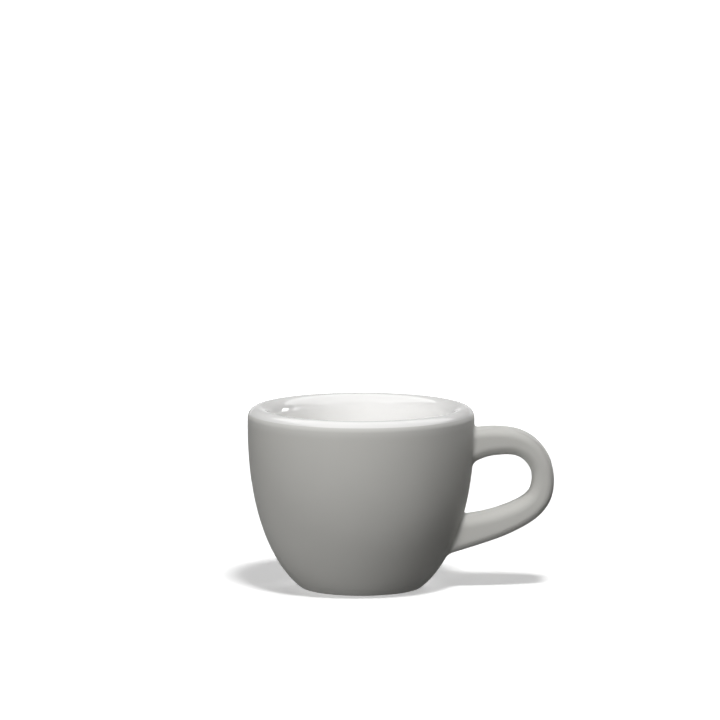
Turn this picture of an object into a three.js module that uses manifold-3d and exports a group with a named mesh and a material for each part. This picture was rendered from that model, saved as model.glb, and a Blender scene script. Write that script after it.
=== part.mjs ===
// Espresso cup: a turned clay body and a cast loop handle, joined with slip and glazed white inside, grey outside.
// Lengths are in millimetres. The cup stands on z = 0, its axis is the Z axis and the handle points along +X.
// Sizes of the wall, rim and handle are those of the finished, glazed surface.
import * as THREE from "three";
import { mergeVertices } from "three/addons/utils/BufferGeometryUtils.js";
import Module from "manifold-3d";

const { degToRad } = THREE.MathUtils;
const wasm = await Module();
wasm.setup();

// Wall and rim
const rimRadius = 32.4;
const cupHeight = 51.8;
const rimOuterRound = 3;
const rimInnerRound = 4;
const wallLean = degToRad(1);
const wallUpperPull = 37.2;
const wallLowerPull = 1.5;

// Bowl
const floorThickness = 6;
const bowlSidePull = 30;
const bowlFloorPull = 16;

// Foot
const footRadius = 17.1;
const footEdge = 0.6;
const footRingWidth = 4;
const footWellDepth = 1.6;
const footWellTaper = 1;
const wallStart = degToRad(32.5);
const glazeStart = degToRad(15);

// Glaze
const glazeThickness = 0.4;
const linerDrop = 1.6;

// Handle: centre line points, as distance beyond the rim's outside, then depth below the rim's top
const handleUpperLine = [
  [-10.4, 12.4],
  [5.7, 9.7],
  [14.5, 11.2],
  [19.3, 17.8],
];

// The rest of the centre line, as distance beyond the rim's outside, then height above the foot
const handleLowerLine = [
  [17.9, 25.2],
  [7.9, 19],
  [-12.4, 13.1],
];
const handleWaist = 6.2;
const handleRoot = 9.5;
const handleWidth = 11;
const handleEdge = 2.4;
const handleRunOn = 8;

// Slip between handle and wall
const slipThickness = 0.6;
const slipSpread = 1;

// Facets
const turnSteps = 40;
const handleSteps = 22;
const edgeSteps = 3;

// Curve points with the normal to the right of travel, which points out of the clay
function sampled(curve, steps) {
  const samples = [];
  for (let i = 0; i <= steps; i++) {
    const tangent = curve.getTangent(i / steps);
    const normal = new THREE.Vector2(tangent.y, -tangent.x);
    samples.push({ point: curve.getPoint(i / steps), normal });
  }
  return samples;
}

function moved(samples, distance) {
  return samples.map(({ point, normal }) => point.clone().addScaledVector(normal, distance));
}

function arc(centreX, centreY, radius, from, to) {
  return new THREE.EllipseCurve(centreX, centreY, radius, radius, from, to, to < from);
}

function solid(geometry) {
  geometry.deleteAttribute("normal");
  geometry.deleteAttribute("uv");
  const welded = mergeVertices(geometry, 1e-4);
  const vertProperties = welded.getAttribute("position").array;
  const triVerts = Uint32Array.from(welded.index.array);
  return new wasm.Manifold(new wasm.Mesh({ numProp: 3, vertProperties, triVerts }));
}

function turned(profile) {
  return solid(new THREE.LatheGeometry(profile, turnSteps).rotateX(Math.PI / 2));
}

function node(name, shape, material) {
  const { vertProperties, triVerts } = shape.getMesh();
  const geometry = new THREE.BufferGeometry();
  geometry.setAttribute("position", new THREE.BufferAttribute(vertProperties, 3));
  geometry.setIndex(new THREE.BufferAttribute(triVerts, 1));
  geometry.computeVertexNormals();
  const mesh = new THREE.Mesh(geometry, material);
  mesh.name = name;
  return mesh;
}

// Outside line of the glazed cup, from the wiped foot up to the colour line on the rim
const crownRadius = rimRadius - rimOuterRound;
const colourAngle = Math.asin(1 - linerDrop / rimOuterRound);
const footDown = -Math.PI / 2;
const bareFootArc = arc(footRadius, footEdge, footEdge, footDown, footDown + glazeStart);
const footArc = arc(footRadius, footEdge, footEdge, footDown + glazeStart, footDown + wallStart);
const shoulderArc = arc(crownRadius, cupHeight - rimOuterRound, rimOuterRound, wallLean, colourAngle);
const wallBottom = footArc.getPoint(1);
const wallTop = shoulderArc.getPoint(0);
const wallRise = new THREE.Vector2(Math.cos(wallStart), Math.sin(wallStart));
const wallEnd = new THREE.Vector2(-Math.sin(wallLean), Math.cos(wallLean));
const wallCurve = new THREE.CubicBezierCurve(
  wallBottom,
  wallBottom.clone().addScaledVector(wallRise, wallLowerPull),
  wallTop.clone().addScaledVector(wallEnd, -wallUpperPull),
  wallTop,
);
const outside = [
  ...sampled(footArc, 2),
  ...sampled(wallCurve, 11).slice(1),
  ...sampled(shoulderArc, 2).slice(1),
];

// Inside line, from the colour line over the rim and down to the middle of the bowl
const bowlRadius = crownRadius - rimInnerRound;
const bowlTop = cupHeight - rimInnerRound;
const bowlFloor = footWellDepth + floorThickness;
const crownArc = arc(crownRadius, cupHeight - rimOuterRound, rimOuterRound, colourAngle, Math.PI / 2);
const lipArc = arc(crownRadius, bowlTop, rimInnerRound, Math.PI / 2, Math.PI);
const bowlCurve = new THREE.CubicBezierCurve(
  new THREE.Vector2(bowlRadius, bowlTop),
  new THREE.Vector2(bowlRadius, bowlTop - bowlSidePull),
  new THREE.Vector2(bowlFloorPull, bowlFloor),
  new THREE.Vector2(0, bowlFloor),
);
const inside = [
  ...sampled(crownArc, 3),
  ...sampled(lipArc, 4).slice(1),
  ...sampled(bowlCurve, 9).slice(1),
];

// Underside of the foot: a flat ring round a shallow glazed well
const ringInner = footRadius - footRingWidth;
const wellRadius = ringInner - footWellTaper;
const wellGlazeFace = footWellDepth - glazeThickness;
const wellGlazeRadius = wellRadius + (footWellTaper * glazeThickness) / footWellDepth;

function clayBody() {
  return turned([
    new THREE.Vector2(0, footWellDepth),
    new THREE.Vector2(wellRadius, footWellDepth),
    new THREE.Vector2(wellGlazeRadius, wellGlazeFace),
    new THREE.Vector2(ringInner, 0),
    ...bareFootArc.getPoints(1),
    ...moved(outside, -glazeThickness),
    ...moved(inside, -glazeThickness).slice(1),
  ]);
}

// The cup's outside as a full solid, grown from the glazed surface
function fullCup(growth) {
  const skin = moved(outside, growth);
  return turned([
    new THREE.Vector2(0, skin[0].y),
    ...skin,
    new THREE.Vector2(0, skin[skin.length - 1].y),
  ]);
}

// Stations along the handle, with straight ends that run on into the cup
const handleCurve = new THREE.SplineCurve([
  ...handleUpperLine.map(([beyond, below]) => new THREE.Vector2(rimRadius + beyond, cupHeight - below)),
  ...handleLowerLine.map(([beyond, height]) => new THREE.Vector2(rimRadius + beyond, height)),
]);

function handleStation(share, runOn) {
  const along = handleCurve.getTangent(share);
  const centre = handleCurve.getPoint(share).addScaledVector(along, runOn);
  const across = new THREE.Vector2(-along.y, along.x);
  const swell = (handleRoot - handleWaist) * (1 - 2 * share) ** 2;
  return { centre, across, half: (handleWaist + swell) / 2 };
}

const handleStations = [handleStation(0, -handleRunOn)];
for (let i = 0; i <= handleSteps; i++) {
  handleStations.push(handleStation(i / handleSteps, 0));
}
handleStations.push(handleStation(1, handleRunOn));

// The handle's full loop, grown from the glazed surface: flat sides with round edges
function handleLoop(growth) {
  const outer = handleStations.map(({ centre, across, half }) => {
    return centre.clone().addScaledVector(across, half + growth);
  });
  const inner = handleStations.map(({ centre, across, half }) => {
    return centre.clone().addScaledVector(across, -half - growth);
  });
  const edge = handleEdge + growth;
  const flat = handleWidth - 2 * handleEdge;
  const loop = new THREE.ExtrudeGeometry(new THREE.Shape([...outer, ...inner.reverse()]), {
    depth: flat,
    steps: 1,
    bevelThickness: edge,
    bevelSize: edge,
    bevelOffset: -edge,
    bevelSegments: edgeSteps,
  });
  return solid(loop.translate(0, 0, -flat / 2).rotateX(Math.PI / 2));
}

// Slip pads: what the spread handle root covers, between the clay wall and the slip's own outside
const clayWall = fullCup(-glazeThickness);
const clayLoop = handleLoop(-glazeThickness);
const slipWall = fullCup(slipThickness - glazeThickness);
const slipReach = handleLoop(slipSpread - glazeThickness).intersect(slipWall);
const slipPads = slipReach.subtract(clayWall);
const handleMiddle = handleCurve.getPoint(0.5).y;
const span = 2 * cupHeight;
const upperHalf = solid(new THREE.BoxGeometry(2 * span, span, span).translate(0, 0, handleMiddle + span / 2));

// Grey coat: the wall's shell and the handle's sleeve in one, opened where clay and slip pass through
function greyCoat() {
  const wallShell = turned([
    ...moved(outside, 0),
    ...moved(outside, -glazeThickness).reverse(),
    outside[0].point,
  ]);
  const slipCoat = handleLoop(slipSpread).intersect(fullCup(slipThickness));
  const sleeve = handleLoop(0).add(slipCoat).subtract(clayWall);
  return wallShell.add(sleeve).subtract(clayLoop.add(slipReach));
}

function whiteLiner() {
  return turned([
    ...moved(inside, -glazeThickness).reverse(),
    ...moved(inside, 0),
  ]);
}

function footWellPatch() {
  return turned([
    new THREE.Vector2(0, wellGlazeFace),
    new THREE.Vector2(wellGlazeRadius, wellGlazeFace),
    new THREE.Vector2(wellRadius, footWellDepth),
    new THREE.Vector2(0, footWellDepth),
  ]);
}

const clay = () => new THREE.MeshStandardMaterial({ color: 0xd3c8b8, roughness: 0.9, metalness: 0 });
const slip = () => new THREE.MeshStandardMaterial({ color: 0xcbbfae, roughness: 0.95, metalness: 0 });
const grey = () => new THREE.MeshStandardMaterial({ color: 0xa9a8a3, roughness: 0.35, metalness: 0 });
const white = () => new THREE.MeshStandardMaterial({ color: 0xf0efed, roughness: 0.2, metalness: 0 });

const cup = new THREE.Group();
cup.name = "espresso_cup";
cup.add(node("cup_body", clayBody(), clay()));
cup.add(node("handle", clayLoop.subtract(slipWall), clay()));
cup.add(node("upper_slip_joint", slipPads.intersect(upperHalf), slip()));
cup.add(node("lower_slip_joint", slipPads.subtract(upperHalf), slip()));
cup.add(node("liner_glaze", whiteLiner(), white()));
cup.add(node("outer_glaze", greyCoat(), grey()));
cup.add(node("foot_well_glaze", footWellPatch(), grey()));

export default cup;
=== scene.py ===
import math

import bmesh
import bpy
import numpy as np
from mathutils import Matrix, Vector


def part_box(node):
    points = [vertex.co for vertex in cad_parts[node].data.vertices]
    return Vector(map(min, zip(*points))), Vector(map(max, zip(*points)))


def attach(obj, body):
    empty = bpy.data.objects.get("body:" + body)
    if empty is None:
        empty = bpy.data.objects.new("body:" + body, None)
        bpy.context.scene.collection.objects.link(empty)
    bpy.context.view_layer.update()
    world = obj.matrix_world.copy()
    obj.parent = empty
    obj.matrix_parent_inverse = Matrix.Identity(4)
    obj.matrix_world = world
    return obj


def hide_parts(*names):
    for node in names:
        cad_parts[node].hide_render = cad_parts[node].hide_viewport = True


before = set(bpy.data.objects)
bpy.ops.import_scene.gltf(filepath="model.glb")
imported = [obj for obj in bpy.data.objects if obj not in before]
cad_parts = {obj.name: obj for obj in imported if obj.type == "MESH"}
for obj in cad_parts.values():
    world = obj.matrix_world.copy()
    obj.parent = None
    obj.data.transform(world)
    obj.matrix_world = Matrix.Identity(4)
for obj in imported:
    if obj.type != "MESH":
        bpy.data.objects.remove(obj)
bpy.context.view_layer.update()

# Cup body
# The thick turned cup is stoneware clay, shaped on a wheel head against a profile and fired once.
# Glaze hides it everywhere but on the foot ring, which is wiped bare so that it can't stick in the kiln.
rim_radius = -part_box("outer_glaze")[0][0]
cup_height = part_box("liner_glaze")[1][2]
glaze_thickness = rim_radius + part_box("cup_body")[0][0]
well_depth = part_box("foot_well_glaze")[1][2]
well_glaze_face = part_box("foot_well_glaze")[0][2]
rim_outer_round = 0.003
rim_inner_round = 0.004
colour_line_drop = 0.0016
wall_lean = math.radians(1)
wall_upper_pull = 0.0372
wall_lower_pull = 0.0015
foot_radius = 0.0171
foot_edge = 0.0006
foot_ring_width = 0.004
well_taper = 0.001
wall_start = math.radians(32.5)
glaze_start = math.radians(15)
floor_thickness = 0.006
bowl_floor = well_depth + floor_thickness
bowl_side_pull = 0.03
bowl_floor_pull = 0.016
wall_steps = 240
bowl_steps = 44
clay_wall_stride = 6
turn_steps = 144


def arc(centre_radius, centre_height, radius, start, end, steps):
    angles = np.linspace(start, end, steps + 1)
    across = centre_radius + radius * np.cos(angles)
    up = centre_height + radius * np.sin(angles)
    return np.column_stack([across, up])


def bezier(start, start_pull, end_pull, end, steps):
    share = np.linspace(0, 1, steps + 1)[:, None]
    rest = 1 - share
    ends = rest**3 * np.array(start) + share**3 * np.array(end)
    return ends + 3 * rest * share * (rest * np.array(start_pull) + share * np.array(end_pull))


def offset_line(line, distance):
    # Moves a profile out of the clay, to the right of its direction of travel
    travel = np.gradient(line, axis=0)
    travel /= np.linalg.norm(travel, axis=1)[:, None]
    return line + distance * np.column_stack([travel[:, 1], -travel[:, 0]])


def finish_mesh(name, shape, crisp_angle=40):
    # Smooth shading all over, broken only at real edges
    bmesh.ops.recalc_face_normals(shape, faces=shape.faces)
    mesh = bpy.data.meshes.new(name)
    shape.to_mesh(mesh)
    shape.free()
    mesh.shade_smooth()
    mesh.set_sharp_from_angle(angle=math.radians(crisp_angle))
    piece = bpy.data.objects.new(name, mesh)
    bpy.context.scene.collection.objects.link(piece)
    return piece


def join_rings(shape, ring, next_ring):
    # Quads between two closed rings, or triangles where one of them is a single point
    count = max(len(ring), len(next_ring))
    for i in range(count):
        corners = [ring[i % len(ring)], ring[(i + 1) % len(ring)]]
        corners += [next_ring[(i + 1) % len(next_ring)], next_ring[i % len(next_ring)]]
        shape.faces.new(list(dict.fromkeys(corners)))


def turned(name, profile):
    # A profile of radius and height that starts and ends on the cup's axis, turned about it
    shape = bmesh.new()
    turn = np.arange(turn_steps) * 2 * math.pi / turn_steps
    rings = []
    for radius, height in profile:
        if radius == 0:
            rings.append([shape.verts.new((0, 0, height))])
        else:
            places = zip(radius * np.cos(turn), radius * np.sin(turn))
            rings.append([shape.verts.new((x, y, height)) for x, y in places])
    for ring, next_ring in zip(rings, rings[1:]):
        join_rings(shape, ring, next_ring)
    return finish_mesh(name, shape)


crown_radius = rim_radius - rim_outer_round
crown_height = cup_height - rim_outer_round
colour_angle = math.asin(1 - colour_line_drop / rim_outer_round)
foot_down = -math.pi / 2
bare_foot = arc(foot_radius, foot_edge, foot_edge, foot_down, foot_down + glaze_start, steps=6)
foot_turn = arc(foot_radius, foot_edge, foot_edge, foot_down + glaze_start, foot_down + wall_start, steps=8)
shoulder = arc(crown_radius, crown_height, rim_outer_round, wall_lean, colour_angle, steps=16)
wall_bottom = foot_turn[-1]
wall_top = shoulder[0]
wall_rise = np.array([math.cos(wall_start), math.sin(wall_start)])
wall_end = np.array([-math.sin(wall_lean), math.cos(wall_lean)])
wall_curve = bezier(
    wall_bottom,
    wall_bottom + wall_lower_pull * wall_rise,
    wall_top - wall_upper_pull * wall_end,
    wall_top,
    wall_steps,
)
outside = np.vstack([foot_turn, wall_curve[1:], shoulder[1:]])

bowl_radius = crown_radius - rim_inner_round
bowl_top = cup_height - rim_inner_round
crown = arc(crown_radius, crown_height, rim_outer_round, colour_angle, math.pi / 2, steps=24)
lip = arc(crown_radius, bowl_top, rim_inner_round, math.pi / 2, math.pi, steps=32)
bowl_curve = bezier(
    (bowl_radius, bowl_top),
    (bowl_radius, bowl_top - bowl_side_pull),
    (bowl_floor_pull, bowl_floor),
    (0, bowl_floor),
    bowl_steps,
)
inside = np.vstack([crown, lip[1:], bowl_curve[1:]])

ring_inner = foot_radius - foot_ring_width
well_radius = ring_inner - well_taper
clay_outside = offset_line(outside, -glaze_thickness)[::clay_wall_stride]
clay_inside = offset_line(inside, -glaze_thickness)
clay_inside[-1, 0] = 0
foot_well = [(0, well_depth), (well_radius, well_depth), (ring_inner, 0)]
cup_body = turned("clay_body", np.vstack([foot_well, bare_foot, clay_outside, clay_inside[1:]]))

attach(cup_body, "root")
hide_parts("cup_body")


def new_material(name):
    material = bpy.data.materials.new(name)
    material.use_nodes = True
    nodes = material.node_tree.nodes
    return material, nodes, material.node_tree.links, nodes["Principled BSDF"]


def fired_grain_group():
    # Bare fired clay: mottled colour, dark specks of iron and a dry sandy surface
    group = bpy.data.node_groups.new("fired grain", "ShaderNodeTree")
    for name in ("Clay", "Darker", "Speck"):
        group.interface.new_socket(name, in_out="INPUT", socket_type="NodeSocketColor")
    group.interface.new_socket("Grain size", in_out="INPUT", socket_type="NodeSocketFloat")
    group.interface.new_socket("Colour", in_out="OUTPUT", socket_type="NodeSocketColor")
    group.interface.new_socket("Roughness", in_out="OUTPUT", socket_type="NodeSocketFloat")
    group.interface.new_socket("Height", in_out="OUTPUT", socket_type="NodeSocketFloat")
    nodes, links = group.nodes, group.links
    given = nodes.new("NodeGroupInput")
    result = nodes.new("NodeGroupOutput")
    place = nodes.new("ShaderNodeTexCoord")
    mottle = nodes.new("ShaderNodeTexNoise")
    mottle.inputs["Scale"].default_value = 260
    mottle.inputs["Detail"].default_value = 5
    grain = nodes.new("ShaderNodeTexNoise")
    grain.inputs["Detail"].default_value = 3
    specks = nodes.new("ShaderNodeTexVoronoi")
    specks.inputs["Scale"].default_value = 900
    speck_mask = nodes.new("ShaderNodeMapRange")
    speck_mask.inputs["From Min"].default_value = 0.09
    speck_mask.inputs["From Max"].default_value = 0.15
    speck_mask.inputs["To Min"].default_value = 0.7
    speck_mask.inputs["To Max"].default_value = 0
    blend = nodes.new("ShaderNodeMix")
    blend.data_type = "RGBA"
    spotted = nodes.new("ShaderNodeMix")
    spotted.data_type = "RGBA"
    dryness = nodes.new("ShaderNodeMapRange")
    dryness.inputs["To Min"].default_value = 0.72
    dryness.inputs["To Max"].default_value = 0.95
    for texture in (mottle, grain, specks):
        links.new(place.outputs["Object"], texture.inputs["Vector"])
    links.new(given.outputs["Grain size"], grain.inputs["Scale"])
    links.new(mottle.outputs["Fac"], blend.inputs["Factor"])
    links.new(given.outputs["Clay"], blend.inputs["A"])
    links.new(given.outputs["Darker"], blend.inputs["B"])
    links.new(specks.outputs["Distance"], speck_mask.inputs["Value"])
    links.new(speck_mask.outputs["Result"], spotted.inputs["Factor"])
    links.new(blend.outputs["Result"], spotted.inputs["A"])
    links.new(given.outputs["Speck"], spotted.inputs["B"])
    links.new(grain.outputs["Fac"], dryness.inputs["Value"])
    links.new(spotted.outputs["Result"], result.inputs["Colour"])
    links.new(dryness.outputs["Result"], result.inputs["Roughness"])
    links.new(grain.outputs["Fac"], result.inputs["Height"])
    return group


fired_grain = fired_grain_group()


def fired_material(name, clay, darker, speck, grain_size):
    material, nodes, links, shader = new_material(name)
    grain = nodes.new("ShaderNodeGroup")
    grain.node_tree = fired_grain
    grain.inputs["Clay"].default_value = (*clay, 1)
    grain.inputs["Darker"].default_value = (*darker, 1)
    grain.inputs["Speck"].default_value = (*speck, 1)
    grain.inputs["Grain size"].default_value = grain_size
    bump = nodes.new("ShaderNodeBump")
    bump.inputs["Strength"].default_value = 0.35
    bump.inputs["Distance"].default_value = 0.0002
    links.new(grain.outputs["Colour"], shader.inputs["Base Color"])
    links.new(grain.outputs["Roughness"], shader.inputs["Roughness"])
    links.new(grain.outputs["Height"], bump.inputs["Height"])
    links.new(bump.outputs["Normal"], shader.inputs["Normal"])
    return material


bare_clay = fired_material(
    "bare fired clay",
    clay=(0.66, 0.59, 0.49),
    darker=(0.56, 0.49, 0.39),
    speck=(0.24, 0.17, 0.11),
    grain_size=2600,
)
cup_body.data.materials.append(bare_clay)

# Handle
# The loop is cast by itself in the same clay, flat on its sides, round at its edges and thicker at the roots.
# It is stuck on while both pieces are still damp, so its two ends are cut to the curve of the wall.
handle_upper_line = [(-0.0104, 0.0124), (0.0057, 0.0097), (0.0145, 0.0112), (0.0193, 0.0178)]
handle_lower_line = [(0.0179, 0.0252), (0.0079, 0.019), (-0.0124, 0.0131)]
handle_waist = 0.0062
handle_root = 0.0095
handle_width = 0.011
outer_edge_round = 0.0022
inner_edge_round = 0.003
upper_flare = 0.0074
upper_flare_share = 0.152
lower_flare = 0.0029
lower_flare_share = 0.16
root_fillet = 0.0016
root_share = 0.3
half_edge_steps = 4
flat_steps = 6
side_steps = 2 * half_edge_steps + flat_steps
rail_count = 4 * side_steps
loop_steps = 84
fillet_steps = 6

line_points = [(rim_radius + beyond, cup_height - below) for beyond, below in handle_upper_line]
line_points += [(rim_radius + beyond, height) for beyond, height in handle_lower_line]
line_points = np.array(line_points)


def handle_line(share):
    # Smooth curve through the points: where it is and where it heads
    last = len(line_points) - 1
    spot = np.clip(share, 0, 1) * last
    before = np.minimum(np.floor(spot), last - 1).astype(int)
    step = (spot - before)[..., None]
    here = line_points[before]
    ahead = line_points[before + 1]
    speed_here = (ahead - line_points[np.maximum(before - 1, 0)]) / 2
    speed_ahead = (line_points[np.minimum(before + 2, last)] - here) / 2
    bend = 2 * (here - ahead) + speed_here + speed_ahead
    swing = 3 * (ahead - here) - 2 * speed_here - speed_ahead
    place = bend * step**3 + swing * step**2 + speed_here * step + here
    heading = 3 * bend * step**2 + 2 * swing * step + speed_here
    return place, heading / np.linalg.norm(heading, axis=-1)[..., None]


def section_rails():
    # Each rail sits between two corners of the section and faces one way
    rails = []
    for corner in range(4):
        turn = math.pi / 2 * (1 - corner)
        eighth = math.pi / 4 / half_edge_steps
        for i in range(half_edge_steps):
            rails.append((corner, corner, 0, turn + math.pi / 4 - i * eighth))
        for i in range(flat_steps):
            rails.append((corner, (corner + 1) % 4, i / flat_steps, turn))
        for i in range(half_edge_steps):
            after = (corner + 1) % 4
            rails.append((after, after, 0, turn - i * eighth))
    return rails


rails = section_rails()
rail_from = np.array([rail[0] for rail in rails])
rail_to = np.array([rail[1] for rail in rails])
rail_mix = np.array([rail[2] for rail in rails])
rail_facing = np.array([rail[3] for rail in rails])
corner_round = np.array([outer_edge_round, outer_edge_round, inner_edge_round, inner_edge_round])
corner_side = np.array([-1, 1, 1, -1])
corner_outward = np.array([1, 1, -1, -1])
corner_reach = corner_side * (handle_width / 2 - corner_round)


def finger_side_flare(share):
    # Extra clay on the finger's side, where each root spreads towards the wall
    upper = np.clip(1 - share / upper_flare_share, 0, 1)
    lower = np.clip(1 - (1 - share) / lower_flare_share, 0, 1)
    return upper_flare * upper**2 + lower_flare * lower**2


def handle_skin(share, growth):
    # One point for each rail, at its own share of the handle's length, with the way that the skin faces
    place, heading = handle_line(share)
    half = (handle_waist + (handle_root - handle_waist) * (1 - 2 * share) ** 2) / 2
    flare = finger_side_flare(share)

    def corner_out(corner):
        # How far the centre of a corner's round lies from the centre line, flare included
        way = corner_outward[corner]
        return way * (half - corner_round[corner]) - flare * (way < 0)

    mix = rail_mix
    edge = (1 - mix) * corner_round[rail_from] + mix * corner_round[rail_to] + growth
    side = (1 - mix) * corner_reach[rail_from] + mix * corner_reach[rail_to]
    out = (1 - mix) * corner_out(rail_from) + mix * corner_out(rail_to)
    side = side + edge * np.cos(rail_facing)
    out = out + edge * np.sin(rail_facing)
    outward = np.stack([-heading[..., 1], heading[..., 0]], axis=-1)
    flat = place + out[..., None] * outward
    points = np.stack([flat[..., 0], np.broadcast_to(side, out.shape), flat[..., 1]], axis=-1)
    turned_out = np.sin(rail_facing)[:, None] * outward
    faces = np.stack([turned_out[..., 0], np.cos(rail_facing), turned_out[..., 1]], axis=-1)
    return points, faces


def halved(low, high, beyond):
    # Finds where a condition turns true between two arrays of shares
    for _ in range(40):
        middle = (low + high) / 2
        true = beyond(middle)
        high = np.where(true, middle, high)
        low = np.where(true, low, middle)
    return (low + high) / 2


def wall_line(growth):
    # The wall's outside with the length along it, grown from the glazed surface
    steps = np.linalg.norm(np.diff(outside, axis=0), axis=1)
    length = np.concatenate([[0], np.cumsum(steps)])
    return offset_line(outside, growth), length


def wall_place(turn, along, growth):
    line, length = wall_line(growth)
    radius = np.interp(along, length, line[:, 0])
    height = np.interp(along, length, line[:, 1])
    return np.stack([radius * np.cos(turn), radius * np.sin(turn), height], axis=-1)


def handle_root_rings(inner_share, outer_share, growth):
    # Where the loop meets the wall: the last ring on the loop, the fillet's rings and the ring on the wall
    line, length = wall_line(growth)

    def outside_wall(share):
        points, _ = handle_skin(share, growth)
        return np.hypot(points[:, 0], points[:, 1]) > np.interp(points[:, 2], line[:, 1], line[:, 0])

    inner = np.full(rail_count, inner_share)
    outer = np.full(rail_count, outer_share)
    meeting_share = halved(inner, outer, outside_wall)
    meeting, faces = handle_skin(meeting_share, growth)

    def past_fillet(share):
        points, _ = handle_skin(share, growth)
        return np.linalg.norm(points - meeting, axis=1) > root_fillet

    loop_share = halved(meeting_share, outer, past_fillet)
    loop_ring, _ = handle_skin(loop_share, growth)
    turn = np.arctan2(meeting[:, 1], meeting[:, 0])
    along = np.interp(meeting[:, 2], line[:, 1], length)
    slope = np.gradient(line, axis=0)
    slope /= np.linalg.norm(slope, axis=1)[:, None]
    lean = np.interp(along, length, slope[:, 0])
    rise = np.interp(along, length, slope[:, 1])
    sideways = faces[:, 1] * np.cos(turn) - faces[:, 0] * np.sin(turn)
    upward = lean * (faces[:, 0] * np.cos(turn) + faces[:, 1] * np.sin(turn)) + rise * faces[:, 2]
    reach = root_fillet / np.hypot(sideways, upward)
    wall_turn = turn + reach * sideways / np.hypot(meeting[:, 0], meeting[:, 1])
    wall_along = along + reach * upward
    wall_ring = wall_place(wall_turn, wall_along, growth)
    fillet = []
    for i in range(1, fillet_steps):
        share = i / fillet_steps
        ring = (1 - share) ** 2 * wall_ring + 2 * share * (1 - share) * meeting + share**2 * loop_ring
        fillet.append(ring)
    return {"turn": wall_turn, "along": wall_along, "wall": wall_ring, "fillet": fillet, "loop": loop_share}


upper_clay_root = handle_root_rings(0, root_share, -glaze_thickness)
lower_clay_root = handle_root_rings(1, 1 - root_share, -glaze_thickness)


def loop_rings(upper_root, lower_root, growth):
    shares = np.linspace(upper_root["loop"], lower_root["loop"], loop_steps + 1)
    return [handle_skin(share, growth)[0] for share in shares]


def add_rings(shape, rings):
    made = [[shape.verts.new(point) for point in ring] for ring in rings]
    for ring, next_ring in zip(made, made[1:]):
        join_rings(shape, ring, next_ring)
    return made


def capped(name, rings):
    # A closed piece lofted through rings, each end drawn in to its middle
    shape = bmesh.new()
    first = rings[0].mean(axis=0)[None]
    last = rings[-1].mean(axis=0)[None]
    add_rings(shape, [first, *rings, last])
    return finish_mesh(name, shape)


handle = capped("clay_handle", loop_rings(upper_clay_root, lower_clay_root, -glaze_thickness))
handle.data.materials.append(bare_clay)
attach(handle, "root")
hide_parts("handle")

# Slip joints
# A dab of the same clay, thinned to cream, bonds each handle root to the wall and is wiped to a small fillet.
# After firing it is part of the clay, and the grey glaze runs over it.
pad_rings = 3


def slip_pad(name, root):
    # From the middle of the wall patch out to its edge, up the fillet and across the handle's end
    middle_turn = root["turn"].mean()
    middle_along = root["along"].mean()
    rings = []
    for i in range(1, pad_rings):
        share = i / pad_rings
        turn = middle_turn + share * (root["turn"] - middle_turn)
        along = middle_along + share * (root["along"] - middle_along)
        rings.append(wall_place(turn, along, -glaze_thickness))
    end = handle_skin(root["loop"], -glaze_thickness)[0]
    return capped(name, [*rings, root["wall"], *root["fillet"], end])


fired_slip = fired_material(
    "fired slip",
    clay=(0.62, 0.54, 0.44),
    darker=(0.55, 0.47, 0.37),
    speck=(0.3, 0.23, 0.16),
    grain_size=4200,
)
for side, root in (("upper", upper_clay_root), ("lower", lower_clay_root)):
    pad = slip_pad(f"{side}_slip_pad", root)
    pad.data.materials.append(fired_slip)
    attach(pad, "root")
    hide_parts(f"{side}_slip_joint")

# White liner
# The bowl is lined with a gloss white glaze, poured in and swirled out, then fired to glass.
# It is carried over the round rim to a clean colour line just below it on the outside.
liner_back = offset_line(inside, -glaze_thickness)
liner_back[-1, 0] = 0
liner = turned("white_liner", np.vstack([inside[::-1], liner_back]))
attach(liner, "root")
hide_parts("liner_glaze")


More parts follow.
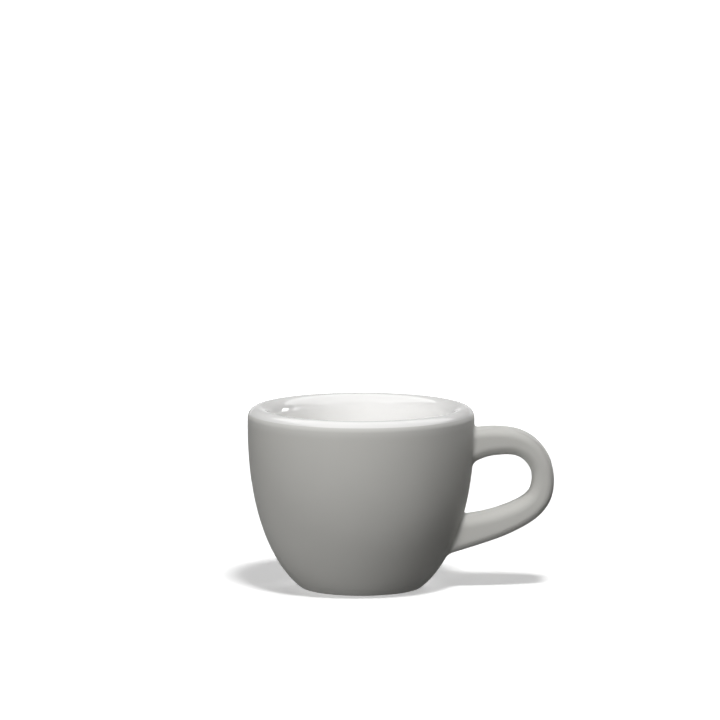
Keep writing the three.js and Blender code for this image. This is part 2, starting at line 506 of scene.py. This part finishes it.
def glaze_skin_group():
    # Fired glaze: clouded where it lies thick, with faint pinholes and a ripple. Towards the rim it blends by
    # height to a thin colour, which stands for thinner glaze and also holds painted light and shade: painted
    # shade on the white rim, a painted highlight on the grey shoulder.
    group = bpy.data.node_groups.new("glaze skin", "ShaderNodeTree")
    for name in ("Glaze", "Thick glaze", "Thin glaze and painted shading", "Pinhole"):
        group.interface.new_socket(name, in_out="INPUT", socket_type="NodeSocketColor")
    for name in ("Thinning and shading start", "Thinning and shading end", "Cloud size", "Smooth", "Dull"):
        group.interface.new_socket(name, in_out="INPUT", socket_type="NodeSocketFloat")
    group.interface.new_socket("Colour", in_out="OUTPUT", socket_type="NodeSocketColor")
    group.interface.new_socket("Roughness", in_out="OUTPUT", socket_type="NodeSocketFloat")
    group.interface.new_socket("Height", in_out="OUTPUT", socket_type="NodeSocketFloat")
    nodes, links = group.nodes, group.links
    given = nodes.new("NodeGroupInput")
    result = nodes.new("NodeGroupOutput")
    place = nodes.new("ShaderNodeTexCoord")
    cloud = nodes.new("ShaderNodeTexNoise")
    cloud.inputs["Detail"].default_value = 4
    cloud.inputs["Roughness"].default_value = 0.45
    ripple = nodes.new("ShaderNodeTexNoise")
    ripple.inputs["Scale"].default_value = 420
    ripple.inputs["Detail"].default_value = 2
    holes = nodes.new("ShaderNodeTexVoronoi")
    holes.inputs["Scale"].default_value = 330
    hole_mask = nodes.new("ShaderNodeMapRange")
    hole_mask.inputs["From Min"].default_value = 0.02
    hole_mask.inputs["From Max"].default_value = 0.05
    hole_mask.inputs["To Min"].default_value = 0.35
    hole_mask.inputs["To Max"].default_value = 0
    height = nodes.new("ShaderNodeSeparateXYZ")
    # Height mask for the rim blend, where the glaze thins and where light and shade are painted in
    thinness_and_shading = nodes.new("ShaderNodeMapRange")
    thinness_and_shading.interpolation_type = "SMOOTHSTEP"
    blend = nodes.new("ShaderNodeMix")
    blend.data_type = "RGBA"
    thinned_and_shaded = nodes.new("ShaderNodeMix")
    thinned_and_shaded.data_type = "RGBA"
    pinned = nodes.new("ShaderNodeMix")
    pinned.data_type = "RGBA"
    gloss = nodes.new("ShaderNodeMapRange")
    for texture in (cloud, ripple, holes):
        links.new(place.outputs["Object"], texture.inputs["Vector"])
    links.new(given.outputs["Cloud size"], cloud.inputs["Scale"])
    links.new(cloud.outputs["Fac"], blend.inputs["Factor"])
    links.new(given.outputs["Glaze"], blend.inputs["A"])
    links.new(given.outputs["Thick glaze"], blend.inputs["B"])
    links.new(place.outputs["Object"], height.inputs["Vector"])
    links.new(height.outputs["Z"], thinness_and_shading.inputs["Value"])
    links.new(given.outputs["Thinning and shading start"], thinness_and_shading.inputs["From Min"])
    links.new(given.outputs["Thinning and shading end"], thinness_and_shading.inputs["From Max"])
    links.new(thinness_and_shading.outputs["Result"], thinned_and_shaded.inputs["Factor"])
    links.new(blend.outputs["Result"], thinned_and_shaded.inputs["A"])
    links.new(given.outputs["Thin glaze and painted shading"], thinned_and_shaded.inputs["B"])
    links.new(holes.outputs["Distance"], hole_mask.inputs["Value"])
    links.new(hole_mask.outputs["Result"], pinned.inputs["Factor"])
    links.new(thinned_and_shaded.outputs["Result"], pinned.inputs["A"])
    links.new(given.outputs["Pinhole"], pinned.inputs["B"])
    links.new(cloud.outputs["Fac"], gloss.inputs["Value"])
    links.new(given.outputs["Smooth"], gloss.inputs["To Min"])
    links.new(given.outputs["Dull"], gloss.inputs["To Max"])
    links.new(pinned.outputs["Result"], result.inputs["Colour"])
    links.new(gloss.outputs["Result"], result.inputs["Roughness"])
    links.new(ripple.outputs["Fac"], result.inputs["Height"])
    return group


glaze_skin = glaze_skin_group()


def glaze_material(name, glaze, thick, thin_and_shading, pinhole, thinning_and_shading, cloud_size, smooth, dull, ripple, shine):
    material, nodes, links, shader = new_material(name)
    skin = nodes.new("ShaderNodeGroup")
    skin.node_tree = glaze_skin
    skin.inputs["Glaze"].default_value = (*glaze, 1)
    skin.inputs["Thick glaze"].default_value = (*thick, 1)
    # The thin colour is blended in by height over the thinning span, and holds painted light and shade there
    skin.inputs["Thin glaze and painted shading"].default_value = (*thin_and_shading, 1)
    skin.inputs["Pinhole"].default_value = (*pinhole, 1)
    skin.inputs["Thinning and shading start"].default_value = thinning_and_shading[0]
    skin.inputs["Thinning and shading end"].default_value = thinning_and_shading[1]
    skin.inputs["Cloud size"].default_value = cloud_size
    skin.inputs["Smooth"].default_value = smooth
    skin.inputs["Dull"].default_value = dull
    bump = nodes.new("ShaderNodeBump")
    bump.inputs["Strength"].default_value = ripple
    bump.inputs["Distance"].default_value = 0.00002
    links.new(skin.outputs["Colour"], shader.inputs["Base Color"])
    links.new(skin.outputs["Roughness"], shader.inputs["Roughness"])
    links.new(skin.outputs["Height"], bump.inputs["Height"])
    links.new(bump.outputs["Normal"], shader.inputs["Normal"])
    shader.inputs["IOR"].default_value = 1.5
    shader.inputs["Specular IOR Level"].default_value = shine
    return material


# Over the rim the white turns darker: thin glaze over the clay, and painted shade that tones down the lit
# rim.
white_glaze = glaze_material(
    "white gloss glaze",
    glaze=(0.87, 0.866, 0.856),
    thick=(0.85, 0.845, 0.834),
    thin_and_shading=(0.69, 0.686, 0.676),
    pinhole=(0.68, 0.665, 0.635),
    thinning_and_shading=(bowl_top - 0.0004, bowl_top + 0.003),
    cloud_size=90,
    smooth=0.01,
    dull=0.025,
    ripple=0.03,
    shine=0.45,
)
liner.data.materials.append(white_glaze)

# Grey coat
# The outside is dipped in a grey satin glaze, wall and handle in one, and fired to one unbroken glass skin.
# It runs over the slip fillets at the handle roots and stops short of the foot ring.
row_spacing = 0.0012
patch_margin = 0.0016
patch_rings = 3
patch_columns = side_steps
foot_rows = 4
line_rows = 12


def wall_rows(upper_root, lower_root):
    # Heights along the wall: even rows, with one row per rail step beside each handle root
    length = wall_line(0)[1]
    foot_end = length[len(foot_turn) - 1]
    shoulder_start = length[len(foot_turn) + len(wall_curve) - 2]
    low = (lower_root["along"].min() - patch_margin, lower_root["along"].max() + patch_margin)
    high = (upper_root["along"].min() - patch_margin, upper_root["along"].max() + patch_margin)
    stretches = [
        (0, foot_end, foot_rows),
        (foot_end, low[0], math.ceil((low[0] - foot_end) / row_spacing)),
        (low[0], low[1], side_steps),
        (low[1], high[0], math.ceil((high[0] - low[1]) / row_spacing)),
        (high[0], high[1], side_steps),
        (high[1], shoulder_start, math.ceil((shoulder_start - high[1]) / row_spacing)),
        (shoulder_start, length[-1], line_rows),
    ]
    rows = [0.0]
    marks = []
    for start, end, steps in stretches:
        marks.append(len(rows) - 1)
        rows.extend(np.linspace(start, end, steps + 1)[1:])
    return np.array(rows), marks[2], marks[4]


upper_root = handle_root_rings(0, root_share, 0)
lower_root = handle_root_rings(1, 1 - root_share, 0)
rows, low_patch, high_patch = wall_rows(upper_root, lower_root)
column_turn = 2 * math.pi / turn_steps
half_patch = patch_columns // 2


def patch_frame(first_row, last_row):
    # Row and column of each wall point round a handle root, in the order of the handle's rails
    step = 1 if last_row > first_row else -1
    down = list(range(first_row, last_row, step))
    frame_points = [(first_row, column) for column in range(-half_patch, half_patch)]
    frame_points += [(row, half_patch) for row in down]
    frame_points += [(last_row, column) for column in range(half_patch, -half_patch, -1)]
    frame_points += [(row + step, -half_patch) for row in reversed(down)]
    return frame_points


def root_rings(root, frame_points, growth):
    # From beside the wall patch's frame in to the fillet, with every point on the wall
    frame_along = np.array([rows[row] for row, _ in frame_points])
    frame_turn = np.array([column * column_turn for _, column in frame_points])
    rings = []
    for i in range(1, patch_rings + 1):
        share = i / (patch_rings + 1)
        turn = (1 - share) * frame_turn + share * root["turn"]
        along = (1 - share) * frame_along + share * root["along"]
        rings.append(wall_place(turn, along, growth))
    return [*rings, root["wall"], *root["fillet"]]


def coat_skin(shape, growth, upper_root, lower_root):
    # One skin of the coat: the wall with a patch left open at each root, and the loop joined into both
    turn = np.arange(turn_steps) * column_turn
    grid = []
    for row in rows:
        points = wall_place(turn, np.full(turn_steps, row), growth)
        grid.append([shape.verts.new(point) for point in points])
    for row in range(len(rows) - 1):
        beside_root = any(start <= row < start + side_steps for start in (low_patch, high_patch))
        for column in range(-half_patch, turn_steps - half_patch):
            if beside_root and column < half_patch:
                continue
            after = (column + 1) % turn_steps
            here = column % turn_steps
            shape.faces.new([grid[row][here], grid[row][after], grid[row + 1][after], grid[row + 1][here]])
    upper_frame = patch_frame(high_patch + side_steps, high_patch)
    lower_frame = patch_frame(low_patch, low_patch + side_steps)
    rings = root_rings(upper_root, upper_frame, growth)
    rings += loop_rings(upper_root, lower_root, growth)
    rings += root_rings(lower_root, lower_frame, growth)[::-1]
    made = add_rings(shape, rings)
    join_rings(shape, [grid[row][column % turn_steps] for row, column in upper_frame], made[0])
    join_rings(shape, made[-1], [grid[row][column % turn_steps] for row, column in lower_frame])
    return grid[0], grid[-1]


coat_shape = bmesh.new()
foot_front, line_front = coat_skin(coat_shape, 0, upper_root, lower_root)
foot_back, line_back = coat_skin(coat_shape, -glaze_thickness, upper_clay_root, lower_clay_root)
join_rings(coat_shape, foot_front, foot_back)
join_rings(coat_shape, line_front, line_back)
coat = finish_mesh("grey_coat", coat_shape)
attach(coat, "root")
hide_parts("outer_glaze")

# Just below the colour line the grey turns lighter: a painted highlight along the shoulder, where the glaze
# also thins.
grey_glaze = glaze_material(
    "grey satin glaze",
    glaze=(0.478, 0.474, 0.452),
    thick=(0.455, 0.451, 0.429),
    thin_and_shading=(0.545, 0.541, 0.52),
    pinhole=(0.35, 0.34, 0.315),
    thinning_and_shading=(crown_height - 0.0022, crown_height + 0.0012),
    cloud_size=60,
    smooth=0.46,
    dull=0.52,
    ripple=0.15,
    shine=0.14,
)
coat.data.materials.append(grey_glaze)

# Foot well glaze
# The shallow well inside the foot ring is dipped with the outside, and the wiped ring cuts it off as a patch.
# Its edge is drawn up the taper of the well in a thin meniscus.
meniscus_width = 0.0016
meniscus_rise = 0.0003
meniscus_curve = [(1, 0), (0.56, 0.15), (0.19, 0.5), (-0.11, 1)]
well_face_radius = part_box("foot_well_glaze")[1][0]
patch_profile = [(0, well_glaze_face)]
for inward, drawn_up in meniscus_curve:
    radius = well_face_radius - meniscus_width * inward
    patch_profile.append((radius, well_glaze_face - meniscus_rise * drawn_up))
patch_profile += [(well_radius, well_depth), (0, well_depth)]
well_patch = turned("foot_well_patch", patch_profile)
well_patch.data.materials.append(grey_glaze)
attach(well_patch, "root")
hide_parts("foot_well_glaze")

# Studio
# A plain white floor, a small key lamp high in front, a wide fill low on the left and another behind the cup.
# The left fill casts no shadow; the white liner has one of its own that does, and a lamp behind for its lip.
# The room is dim round a white backdrop. A panel overhead and two strips on the right show in gloss only.
floor_half = 8
floor_white = 0.93
floor_glow = 0.18
glow_start = 0.25
glow_end = 0.8
floor_bounce = 0.2
foot_glow = 0.13
foot_glow_start = 0.017
foot_glow_end = 0.027
backdrop_top = 0.2
room_shine = 0.35
room_level = 0.03

floor_shape = bmesh.new()
bmesh.ops.create_grid(floor_shape, x_segments=8, y_segments=8, size=floor_half)
floor = finish_mesh("floor", floor_shape)


def white_floor_paint():
    # The camera sees a white floor with its shadow, and the cup gets only a little light from it.
    # The floor also glows faintly round the foot, which opens the shadow there.
    material, nodes, links, shader = new_material("white floor")
    shader.inputs["Base Color"].default_value = (floor_bounce, floor_bounce, floor_bounce, 1)
    shader.inputs["Roughness"].default_value = 1
    shader.inputs["Specular IOR Level"].default_value = 0
    lit = nodes.new("ShaderNodeBsdfDiffuse")
    lit.inputs["Color"].default_value = (floor_white, floor_white, floor_white, 1)
    place = nodes.new("ShaderNodeTexCoord")
    from_cup = nodes.new("ShaderNodeVectorMath")
    from_cup.operation = "LENGTH"
    spread = nodes.new("ShaderNodeMapRange")
    spread.inputs["From Min"].default_value = glow_start
    spread.inputs["From Max"].default_value = glow_end
    spread.inputs["To Min"].default_value = floor_glow
    spread.inputs["To Max"].default_value = 1
    glow = nodes.new("ShaderNodeEmission")
    shown = nodes.new("ShaderNodeAddShader")
    near_foot = nodes.new("ShaderNodeMapRange")
    near_foot.interpolation_type = "SMOOTHSTEP"
    near_foot.inputs["From Min"].default_value = foot_glow_start
    near_foot.inputs["From Max"].default_value = foot_glow_end
    near_foot.inputs["To Min"].default_value = foot_glow
    near_foot.inputs["To Max"].default_value = 0
    foot_light = nodes.new("ShaderNodeEmission")
    opened = nodes.new("ShaderNodeAddShader")
    path = nodes.new("ShaderNodeLightPath")
    seen = nodes.new("ShaderNodeMath")
    seen.operation = "MAXIMUM"
    choice = nodes.new("ShaderNodeMixShader")
    links.new(path.outputs["Is Camera Ray"], seen.inputs[0])
    links.new(path.outputs["Is Transmission Ray"], seen.inputs[1])
    links.new(place.outputs["Object"], from_cup.inputs[0])
    links.new(from_cup.outputs["Value"], spread.inputs["Value"])
    links.new(spread.outputs["Result"], glow.inputs["Strength"])
    links.new(lit.outputs["BSDF"], shown.inputs[0])
    links.new(glow.outputs["Emission"], shown.inputs[1])
    links.new(seen.outputs["Value"], choice.inputs["Fac"])
    links.new(shader.outputs["BSDF"], choice.inputs[1])
    links.new(shown.outputs["Shader"], choice.inputs[2])
    links.new(from_cup.outputs["Value"], near_foot.inputs["Value"])
    links.new(near_foot.outputs["Result"], foot_light.inputs["Strength"])
    links.new(choice.outputs["Shader"], opened.inputs[0])
    links.new(foot_light.outputs["Emission"], opened.inputs[1])
    links.new(opened.outputs["Shader"], nodes["Material Output"].inputs["Surface"])
    return material


floor.data.materials.append(white_floor_paint())


def studio_world():
    # White to the eye; as the gloss mirrors it, white at the horizon and greyer above; as a light, a dim room
    world = bpy.data.worlds.new("studio")
    world.use_nodes = True
    nodes, links = world.node_tree.nodes, world.node_tree.links
    view = nodes.new("ShaderNodeTexCoord")
    height = nodes.new("ShaderNodeSeparateXYZ")
    backdrop = nodes.new("ShaderNodeMapRange")
    backdrop.inputs["From Min"].default_value = 0
    backdrop.inputs["From Max"].default_value = backdrop_top
    backdrop.inputs["To Min"].default_value = 1
    backdrop.inputs["To Max"].default_value = room_shine
    ray = nodes.new("ShaderNodeLightPath")
    mirrored = nodes.new("ShaderNodeMath")
    mirrored.operation = "MAXIMUM"
    unseen = nodes.new("ShaderNodeMix")
    unseen.inputs["A"].default_value = room_level
    shown = nodes.new("ShaderNodeMath")
    shown.operation = "MAXIMUM"
    nodes["Background"].inputs["Color"].default_value = (1, 1, 1, 1)
    links.new(view.outputs["Generated"], height.inputs["Vector"])
    links.new(height.outputs["Z"], backdrop.inputs["Value"])
    links.new(ray.outputs["Is Glossy Ray"], mirrored.inputs[0])
    links.new(ray.outputs["Is Transmission Ray"], mirrored.inputs[1])
    links.new(mirrored.outputs["Value"], unseen.inputs["Factor"])
    links.new(backdrop.outputs["Result"], unseen.inputs["B"])
    links.new(unseen.outputs["Result"], shown.inputs[0])
    links.new(ray.outputs["Is Camera Ray"], shown.inputs[1])
    links.new(shown.outputs["Value"], nodes["Background"].inputs["Strength"])
    return world


bpy.context.scene.world = studio_world()


def softbox(name, azimuth, elevation, distance, width, height, brightness):
    # A lamp that faces the cup, with its azimuth counted from the front towards the handle
    lamp = bpy.data.lights.new(name, "AREA")
    lamp.shape = "RECTANGLE"
    lamp.size = width
    lamp.size_y = height
    lamp.energy = math.pi * width * height * brightness
    light = bpy.data.objects.new(name, lamp)
    turn = math.radians(azimuth)
    rise = math.radians(elevation)
    level = distance * math.cos(rise)
    light.location = (level * math.sin(turn), -level * math.cos(turn), distance * math.sin(rise))
    light.rotation_euler = (math.pi / 2 - rise, 0, turn)
    light.visible_glossy = False
    bpy.context.scene.collection.objects.link(light)
    return light


def link_light(light, piece, state):
    # Keep the lamp's light to one piece, or off that piece
    pieces = bpy.data.collections.new(light.name + " pieces")
    pieces.objects.link(piece)
    pieces.collection_objects[0].light_linking.link_state = state
    light.light_linking.receiver_collection = pieces


fill_place = {"azimuth": -33, "elevation": 18, "distance": 1.6, "width": 0.9, "height": 0.8}
softbox("key light", azimuth=14.4, elevation=68.2, distance=2, width=0.32, height=0.32, brightness=88)
left_fill = softbox("left front fill", **fill_place, brightness=6.7)
left_fill.data.use_shadow = False
link_light(left_fill, liner, "EXCLUDE")
bowl_fill = softbox("bowl fill", **fill_place, brightness=6.2)
link_light(bowl_fill, liner, "INCLUDE")
lip_light = softbox(
    "lip light", azimuth=180, elevation=48, distance=1.6, width=0.6, height=0.6, brightness=3.2
)
link_light(lip_light, liner, "INCLUDE")
softbox("back light", azimuth=168, elevation=16, distance=1.6, width=0.9, height=0.7, brightness=9)
overhead_panel = softbox(
    "overhead panel", azimuth=180, elevation=90, distance=1.2, width=2.6, height=2.3, brightness=2.8
)
overhead_panel.location = (0.3, 0.05, 1.2)
near_strip = softbox(
    "near strip light", azimuth=94, elevation=14, distance=1.6, width=0.33, height=0.56, brightness=4
)
far_strip = softbox(
    "far strip light", azimuth=118, elevation=12, distance=1.6, width=0.4, height=0.5, brightness=10
)
for light in (overhead_panel, near_strip, far_strip):
    light.visible_glossy = True
    light.visible_diffuse = False

camera_distance = 1.6
camera_elevation = math.radians(9.85)
aim_height = 0.0653
aim_side = -0.0003
photo_width = 720
focal_pixels = 5571
camera_lens = bpy.data.cameras.new("camera")
camera_lens.sensor_width = 36
camera_lens.lens = focal_pixels * camera_lens.sensor_width / photo_width
camera_lens.clip_end = 100
camera = bpy.data.objects.new("camera", camera_lens)
camera_level = camera_distance * math.cos(camera_elevation)
camera_height = camera_distance * math.sin(camera_elevation)
camera.location = (0, -camera_level, camera_height)
camera.rotation_euler = (
    math.pi / 2 - math.atan2(camera_height - aim_height, camera_level),
    0,
    math.atan2(-aim_side, camera_level),
)
bpy.context.scene.collection.objects.link(camera)
bpy.context.scene.camera = camera
bpy.context.scene.view_settings.view_transform = "Standard"
